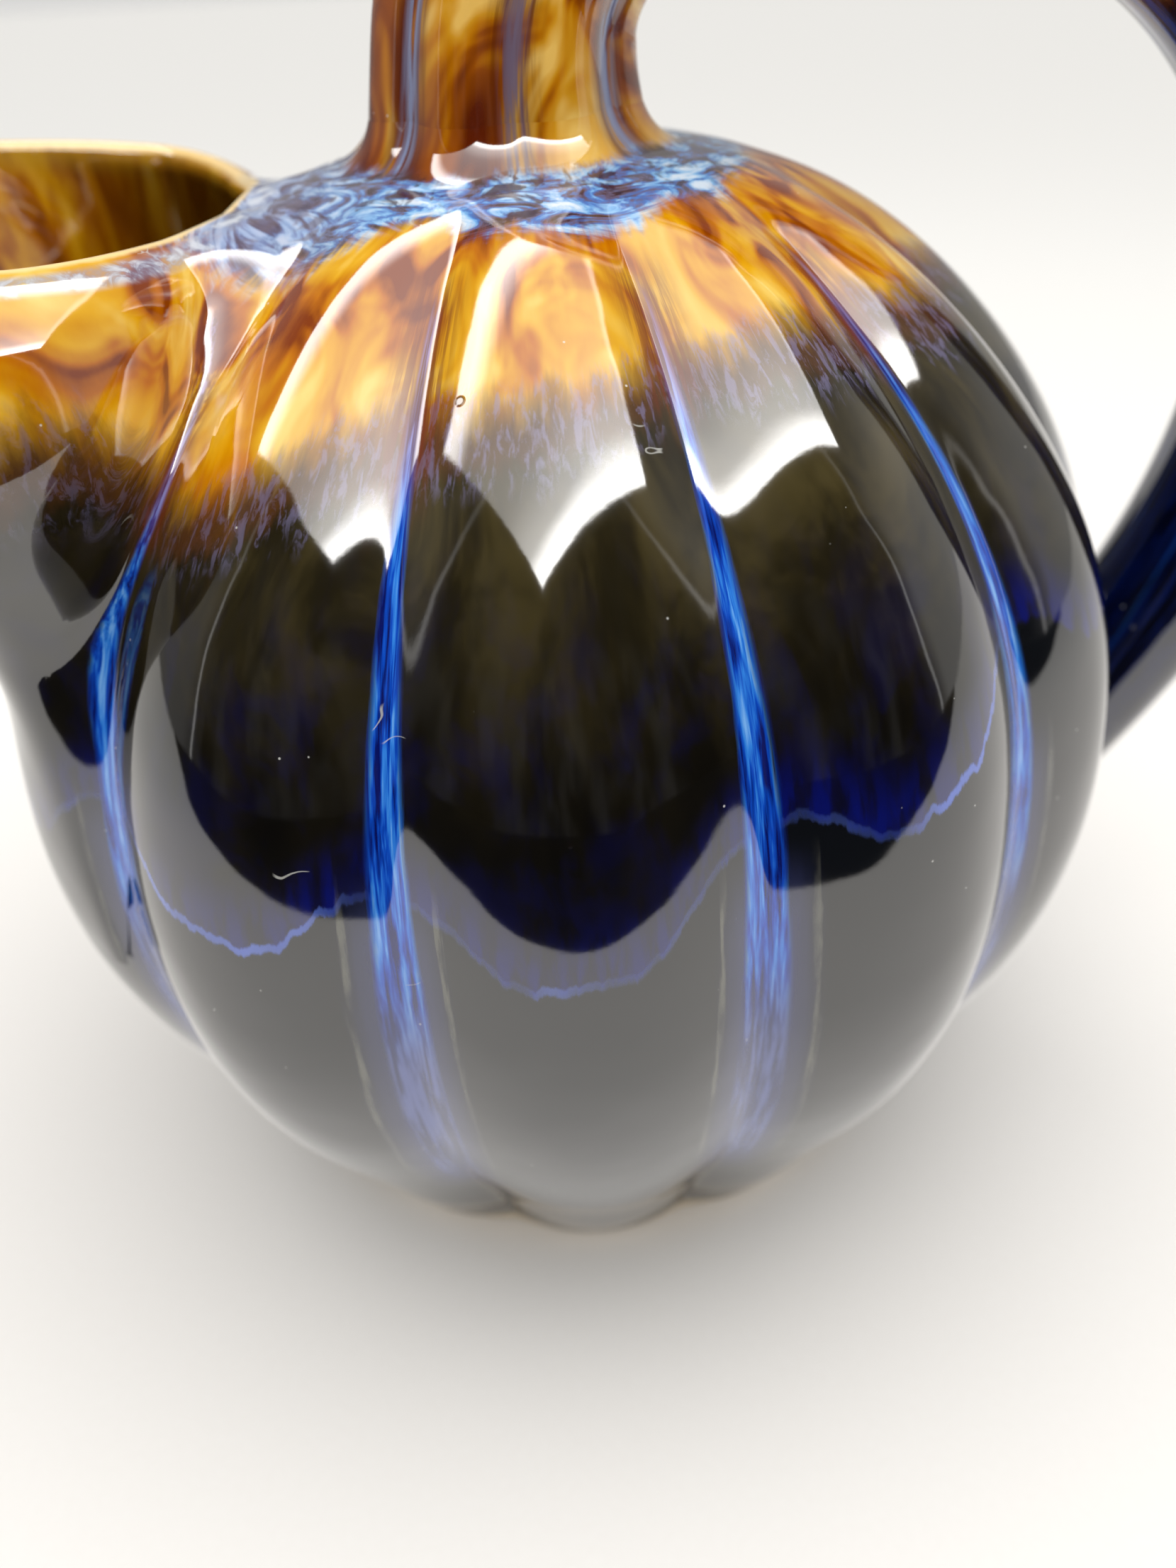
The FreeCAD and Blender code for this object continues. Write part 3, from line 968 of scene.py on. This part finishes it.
def add_belly(g):
    """Dark belly with the cobalt drip line that hangs down on every rib."""
    colour = dark_colour(g)
    droop = g.times(g.math("MINIMUM", g.side_square, 0.3), 18.0)
    drip_height = g.add(g.add(1.5, g.times(g.side, 7.5)), droop)
    scallop = g.step(g.crease, 17.0, 3.0, 0.0, 6.0)
    above = g.math("SUBTRACT", g.add(g.rise, g.swing(g.ragged, 2.6)), g.add(drip_height, scallop))
    cobalt = g.times(g.step(above, 7.0, 0.5), g.step(above, -0.4, 0.2))
    colour = g.mix(g.step(above, 0.0, -0.6), colour, (16, 18, 22))
    colour = g.mix(g.times(cobalt, g.step(g.ragged, 0.38, 0.62, 0.08, 0.65)), colour, (8, 22, 112))
    bright = g.times(g.band(above, -0.2, 0.2, 0.4), g.step(g.wander, 0.40, 0.60, 0.10, 0.7))
    bright = g.times(bright, g.times(g.step(g.side, 0.74, 0.58), g.step(g.side, -0.84, -0.66)))
    return g.mix(bright, colour, (96, 124, 222))


def height_above_amber_edge(g):
    """Degrees above the ragged lower edge of the amber, which hangs lower in a crease."""
    edge = g.add(g.add(44.8, g.times(g.side, 9.5)), g.times(g.side_square, -9.5))
    near_crease = g.step(g.crease, 9.0, 1.0)
    above = g.math("SUBTRACT", g.add(g.rise, g.swing(g.wander, 9.0)), edge)
    return g.add(g.add(above, g.swing(g.ragged, 5.0)), g.times(near_crease, -2.0))


def add_shoulder(g, colour, above):
    """Amber shoulder, with a brown line and lavender flecks along its lower edge."""
    dash = g.noise(g.scaled(g.flow, 0.75, 0.75, 0.26), 4.0, 0.65, 0.6)
    fleck = g.times(g.band(above, -4.0, 1.0, 3.0), g.step(dash, 0.48, 0.62))
    brown = g.times(g.band(above, -2.5, 1.0, 2.5), 0.5)
    colour = g.mix(g.step(above, -2.0, 2.6), colour, amber_colour(g))
    colour = g.mix(brown, colour, (96, 58, 30))
    return g.mix(g.times(fleck, g.step(g.side, -0.80, -0.25, 0.08, 0.42)), colour, (132, 128, 170))


def add_creases(g, colour, above):
    """Cobalt that has run together in the creases, with a haze and a painted highlight line beside it."""
    purple = g.times(g.step(above, -9.0, 0.0), g.step(g.rise, 61.0, 55.0))
    purple = g.times(g.step(g.crease, 4.6, 0.8), purple)
    colour = g.mix(g.times(purple, g.step(g.hair, 0.36, 0.58, 0.2, 0.85)), colour, (108, 46, 24))
    half_width = g.step(g.rise, 56.0, -30.0, 0.5, 3.6)
    past_edge = g.math("SUBTRACT", g.add(g.crease, g.swing(g.hair, 1.6)), half_width)
    in_crease = g.times(g.step(past_edge, 0.5, -0.6), g.band(g.rise, -33.0, 51.0, 7.0))
    haze = g.times(g.step(past_edge, 4.5, 0.0), g.times(g.band(g.rise, -36.0, 2.0, 8.0), 0.4))
    colour = g.mix(haze, colour, (70, 76, 128))
    # painted highlight: a pale ragged line along the edge of each crease on the lower body, where the ribs
    # mirror the room
    painted_highlight_line = g.times(g.band(past_edge, 3.0, 3.4, 0.3), g.band(g.rise, -34.0, 4.0, 6.0))
    colour = g.mix(g.times(painted_highlight_line, g.step(g.ragged, 0.3, 0.7, 0.0, 0.4)), colour, (140, 140, 124))
    in_crease = g.times(in_crease, g.step(g.rise, -14.0, 4.0, 0.62, 0.92))
    return g.mix(in_crease, colour, crease_colour(g, above))


def add_crown(g, colour):
    """Flecked crown and the blue band below the rim."""
    level = g.add(g.add(g.rise, g.swing(g.wander, 7.0)), g.times(g.side_square, -5.0))
    level = g.add(level, g.step(g.component(g.place(), 0), -0.012, -0.036, 0.0, 11.0))
    crown = g.step(g.add(level, g.swing(g.ragged, 4.0)), 61.5, 64.5)
    colour = g.mix(g.times(crown, 0.94), colour, crown_colour(g))
    mottle = g.noise(g.place(), 4.0, 0.6, 1.0, 260.0)
    rim_band = g.times(g.band(g.rim, 3.0, 4.6, 1.4), g.step(mottle, 0.36, 0.58, 0.35, 0.9))
    blue = g.mix(g.step(mottle, 0.42, 0.62), (126, 138, 168), (198, 204, 214))
    return g.mix(rim_band, colour, blue)


def add_edges(g, colour):
    """Stem glaze on the joints, ochre inside the mouth and the worn edge of the rim."""
    stem = stem_colour(g, g.attribute("stem_flow", "Vector"), g.attribute("stem_groove"))
    colour = g.mix(g.step(g.add(g.joint, g.swing(g.ragged, 0.3)), 0.12, 0.42), colour, stem)
    colour = g.mix(g.inside, colour, inside_colour(g))
    worn = g.step(g.add(g.rim, g.swing(g.ragged, 0.8)), 1.7, 0.8)
    return g.mix(g.times(worn, 0.85), colour, (244, 214, 150))


def skin_glaze(name):
    """Flecked crown, amber shoulder, dark belly, cobalt creases, and bare clay under the foot."""
    g = Skin(name)
    above = height_above_amber_edge(g)
    colour = add_belly(g)
    colour = add_shoulder(g, colour, above)
    colour = add_creases(g, colour, above)
    colour = add_crown(g, colour)
    colour = add_edges(g, colour)
    bare = g.times(g.step(g.rise, -55.6, -56.4), g.step(g.inside, 0.6, 0.4))
    grain = g.noise(g.place(), 4.0, scale=900.0)
    colour = g.mix(bare, colour, g.mix(grain, (178, 158, 128), (222, 206, 178)))
    add_surface(g, colour, g.add(GLAZE_ROUGHNESS, g.times(bare, 0.75)))
    return g.material


def stem_glaze(name):
    """The stem's own glaze, drawn along its length and its grooves."""
    g = Glaze(name)
    colour = stem_colour(g, g.attribute("flow", "Vector"), g.attribute("crease"))
    add_surface(g, colour, GLAZE_ROUGHNESS)
    return g.material


# ---- stage ----
PAPER = (236, 234, 231)
PAPER_GRAIN = (226, 222, 217)
# painted light: the paper is painted lighter far from the pitcher's foot
FAR_PAPER_PAINTED_LIGHTER = (240, 239, 236)
# painted reflection: dark floor that only the glaze mirrors, past the paper's front edge
MIRRORED_DARK_FLOOR = (30, 30, 34)  # past the paper's front edge


def add_sheet(name, corners):
    """One flat face through the corners, as an object of the stage."""
    mesh = bpy.data.meshes.new(name)
    mesh.from_pydata(corners, [], [tuple(range(len(corners)))])
    sheet = bpy.data.objects.new(name, mesh)
    bpy.context.collection.objects.link(sheet)
    return sheet


def build_floor():
    """Pale paper the pitcher stands on, wide enough to reach past the top of the picture; painted lighter
    away from the foot, with a painted glow and a painted dark past its front edge that only the glaze
    mirrors.
    """
    size = FLOOR_HALF_SIZE
    floor = add_sheet("floor", [(-size, -size, 0), (size, -size, 0), (size, size, 0), (-size, size, 0)])
    g = Glaze("floor_paper")
    paper = g.mix(g.times(g.noise(g.place(), 3.0, scale=700.0), 0.3), PAPER, PAPER_GRAIN)
    length = g.node("VectorMath", g.place())
    length.operation = "LENGTH"
    from_foot = length.outputs["Value"]
    # painted light: paper painted lighter from 0.20 to 0.75 m away from the foot
    paper = g.mix(g.step(from_foot, 0.20, 0.75), paper, FAR_PAPER_PAINTED_LIGHTER)
    glossy = g.glossy()
    past_edge = g.step(g.component(g.place(), 1), PAPER_EDGE_Y + 0.002, PAPER_EDGE_Y - 0.002)
    # painted reflection: the paper glows to glossy rays alone, faintly over the sheet and more in a ring
    # round the foot
    mirrored = g.times(g.math("SUBTRACT", 1.0, past_edge), FLOOR_IN_GLAZE)
    mirrored = g.times(mirrored, g.step(from_foot, 0.04, 0.09))
    painted_glow_near_foot = g.times(g.step(from_foot, 0.16, 0.07), g.step(from_foot, 0.05, 0.08, 0.0, FOOT_GLOW))
    # painted reflection: past the paper's front edge the floor is dark to glossy rays only
    g.shade({
        "Base Color": g.mix(g.times(glossy, past_edge), paper, MIRRORED_DARK_FLOOR),
        "Emission Color": paper,
        "Emission Strength": g.times(glossy, g.add(mirrored, painted_glow_near_foot)),
        "Roughness": 0.75,
        "Specular IOR Level": 0.2,
    })
    floor.data.materials.append(g.material)


def build_panel():
    """Light tent's ceiling: a glowing sheet with brighter strips along its edges."""
    front, right, back, left = PANEL_CORNERS
    panel = add_sheet("ceiling_panel", [(x, y, PANEL_HEIGHT) for x, y in (front, left, back, right)])
    panel.visible_camera = False
    layer = panel.data.uv_layers.new(name="sheet")
    for loop, corner in zip(layer.data, ((0, 0), (0, 1), (1, 1), (1, 0))):
        loop.uv = corner
    g = Glaze("ceiling_glow")
    sheet = g.node("TexCoord").outputs["UV"]
    along_right, along_left = g.component(sheet, 0), g.component(sheet, 1)
    near_strip = g.add(g.step(along_left, 0.16, 0.03, 0.0, 0.9), g.step(along_left, 0.42, 0.05, 0.0, 0.24))
    far_strip = g.step(along_left, 0.76, 0.93, 0.0, 0.6)
    side_strip = g.step(along_right, 0.955, 0.98, 0.0, 0.2)
    strips = g.math("MAXIMUM", g.math("MAXIMUM", near_strip, far_strip), side_strip)
    veil = g.step(along_left, 0.75, 0.10, PANEL_VEIL, 1.7 * PANEL_VEIL)
    seen = g.add(veil, g.times(strips, PANEL_STRIP))
    g.shade({
        "Base Color": (0.0, 0.0, 0.0, 1.0),
        "Emission Color": (1.0, 0.985, 0.96, 1.0),
        "Emission Strength": g.blend(g.glossy(), PANEL_LIGHT, seen),
    })
    panel.data.materials.append(g.material)


def build_room():
    """Sky for plain light and the backdrop, and a half-dark room as the glaze mirrors it."""
    world = bpy.data.worlds.new("room")
    bpy.context.scene.world = world
    world.use_nodes = True
    g = Nodes(world.node_tree)
    background = g.tree.nodes["Background"]
    way = g.node("TexCoord").outputs["Generated"]
    to_front = g.times(g.component(way, 1), -1.0)
    up = g.component(way, 2)
    front = g.step(to_front, 0.10, 0.30)
    wall = g.step(g.component(way, 0), -0.9, 0.9, 0.22, 0.48)
    tent_edge = g.band(to_front, 0.235, 0.245, 0.010)
    clutter = g.noise(g.scaled(way, 5.0, 5.0, 2.2), 3.0, 0.5)
    dark = g.step(clutter, 0.40, 0.66, 0.010, 0.075)
    mirrored = g.add(g.blend(front, wall, dark), tent_edge)
    mirrored = g.times(mirrored, g.step(up, 0.75, 0.3, 0.35, 1.0))
    overhead = g.step(up, -0.1, 0.9, 0.14 * SKY, 1.6 * SKY)
    overhead = g.times(overhead, g.step(g.component(way, 0), -1.0, 1.0, 0.95, 1.15))
    strength = g.blend(g.glossy(), overhead, mirrored)
    strength = g.blend(g.node("LightPath").outputs["Is Camera Ray"], strength, BACKDROP)
    background.inputs["Color"].default_value = (1.0, 0.99, 0.975, 1.0)
    g.put(background.inputs["Strength"], strength)


# ---- camera ----
CAMERA_PLACE = (0.0, -174.4, 180.2)
CAMERA_HEADING = math.radians(0.983)  # to the right of +Y
CAMERA_TILT = math.radians(35.538)  # down from level
CAMERA_ROLL = math.radians(-3.213)
CAMERA_LENS = 27.03
FRAME_HEIGHT = 36.0
FOCUS_POINT = (0.0, -0.05, 0.14)  # metres
APERTURE = 10.0


def build_camera():
    """Camera close above the pitcher, looking down at its shoulder."""
    focus = bpy.data.objects.new("focus", None)
    focus.location = FOCUS_POINT
    bpy.context.collection.objects.link(focus)
    data = bpy.data.cameras.new("camera")
    data.sensor_fit = "VERTICAL"
    data.sensor_height = FRAME_HEIGHT
    data.lens = CAMERA_LENS
    data.clip_start = 0.01
    data.dof.use_dof = True
    data.dof.focus_object = focus
    data.dof.aperture_fstop = APERTURE
    camera = bpy.data.objects.new("camera", data)
    turn = Matrix.Rotation(-CAMERA_HEADING, 4, "Z")
    turn = turn @ Matrix.Rotation(0.5 * math.pi - CAMERA_TILT, 4, "X")
    turn = turn @ Matrix.Rotation(CAMERA_ROLL, 4, "Z")
    camera.matrix_world = Matrix.Translation(Vector(CAMERA_PLACE) * MM) @ turn
    bpy.context.collection.objects.link(camera)
    bpy.context.scene.camera = camera


# ---- put together ----
joint_glaze = skin_glaze("joint_glaze")
pieces = [
    (build_body(), skin_glaze("body_glaze")),
    (build_lip(), skin_glaze("lip_glaze")),
    (build_handle(), stem_glaze("stem_glaze")),
    (build_fillet("stem_foot_fillet", "stem_joint_slip", STEM_SPAN, 1.0, 8.0), joint_glaze),
    (build_fillet("handle_foot_fillet", "handle_joint_slip", END_SPAN, -1.0, 5.0), joint_glaze),
]
for piece, glaze in pieces:
    piece.data.materials.append(glaze)
build_floor()
build_panel()
build_room()
build_camera()
bpy.context.scene.view_settings.view_transform = "Standard"
